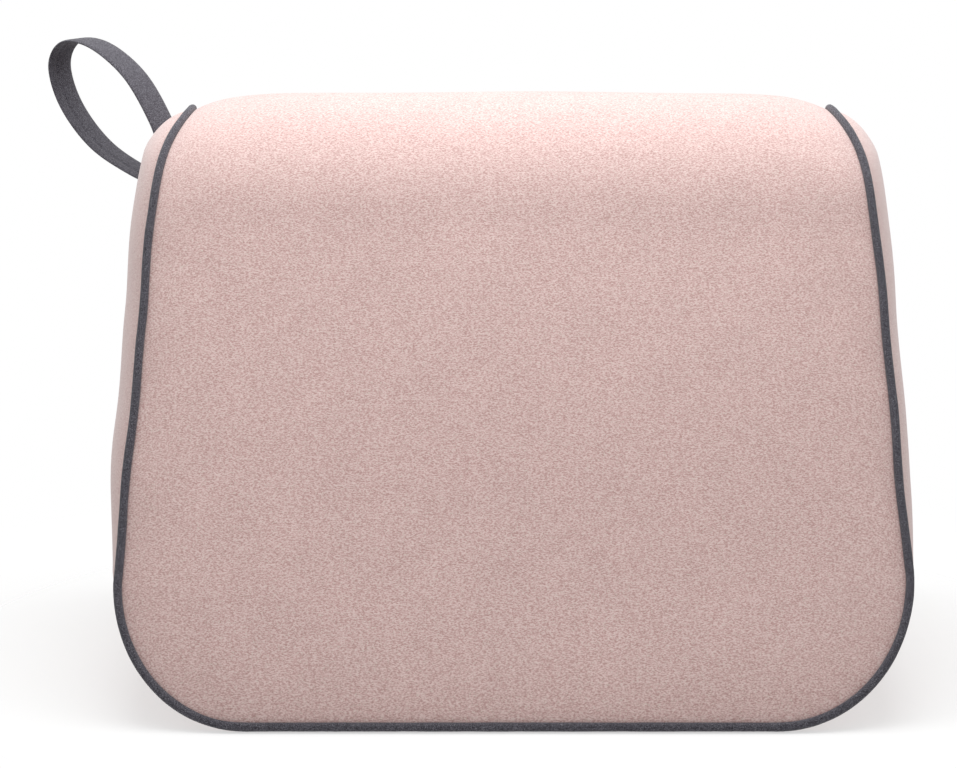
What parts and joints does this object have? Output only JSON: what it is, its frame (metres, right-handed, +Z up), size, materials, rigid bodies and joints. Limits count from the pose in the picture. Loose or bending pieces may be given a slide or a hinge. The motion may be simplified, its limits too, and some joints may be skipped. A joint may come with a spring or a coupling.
{
  "type": "incline wedge mat",
  "caption": "Upholstered foam incline wedge with a rolled crest, felt cover, corded piping, back zip and a strap loop to carry it.",
  "frame": {"origin": "middle of the base face, on the floor", "axes": "+Z up; the slope faces -Y, the upright back faces +Y, the strap loop is on the -X side"},
  "size_m": [0.6279, 0.4815, 0.4216],
  "materials": {
    "felt_pink": "melange wool felt",
    "felt_charcoal": "melange charcoal felt",
    "foam": "open-cell polyurethane foam",
    "wadding": "polyester fibre wadding",
    "calico": "plain calico",
    "cord": "spun cotton cord",
    "zip_tape": "woven polyester tape",
    "zip_plastic": "moulded zip teeth",
    "zip_metal": "enamelled zinc",
    "thread": "sewing thread",
    "label": "woven satin tape, blank"
  },
  "bodies": {
    "root": {"foam_core": "foam", "wadding_wrap": "wadding", "inner_liner": "calico", "wrap_panel": "felt_pink", "back_strip": "felt_pink", "left_gusset": "felt_pink", "right_gusset": "felt_pink", "base_panel": "felt_pink", "piping_sleeve": "felt_charcoal", "piping_cord": "cord", "zip_tape_upper": "zip_tape", "zip_tape_lower": "zip_tape", "zip_teeth_upper": "zip_plastic", "zip_teeth_lower": "zip_plastic", "zip_stop_left": "zip_metal", "zip_stop_right": "zip_metal", "care_label": "label"},
    "handle": {"handle_strap": "felt_charcoal", "handle_bar_tacks": "thread"},
    "zip_slider": {"zip_slider": "zip_metal"},
    "zip_pull": {"zip_pull_tab": "zip_metal"}
  },
  "joints": [
    {"name": "handle_swing", "type": "hinge", "parent": "root", "child": "handle", "pos_m": [-0.26001, 0.20078, 0.32826], "axis": [0, 0, 1], "range_deg": [-40, 40], "stiffness_Nm_per_rad": 0.02},
    {"name": "zip_slide", "type": "slide", "parent": "root", "child": "zip_slider", "axis": [-1, 0, 0], "range_m": [0, 0.39], "deforming": ["zip_teeth_upper", "zip_teeth_lower"]},
    {"name": "zip_pull_flip", "type": "hinge", "parent": "zip_slider", "child": "zip_pull", "pos_m": [0.1965, 0.20075, 0.064], "axis": [0, 0, -1], "range_deg": [0, 170]}
  ]
}
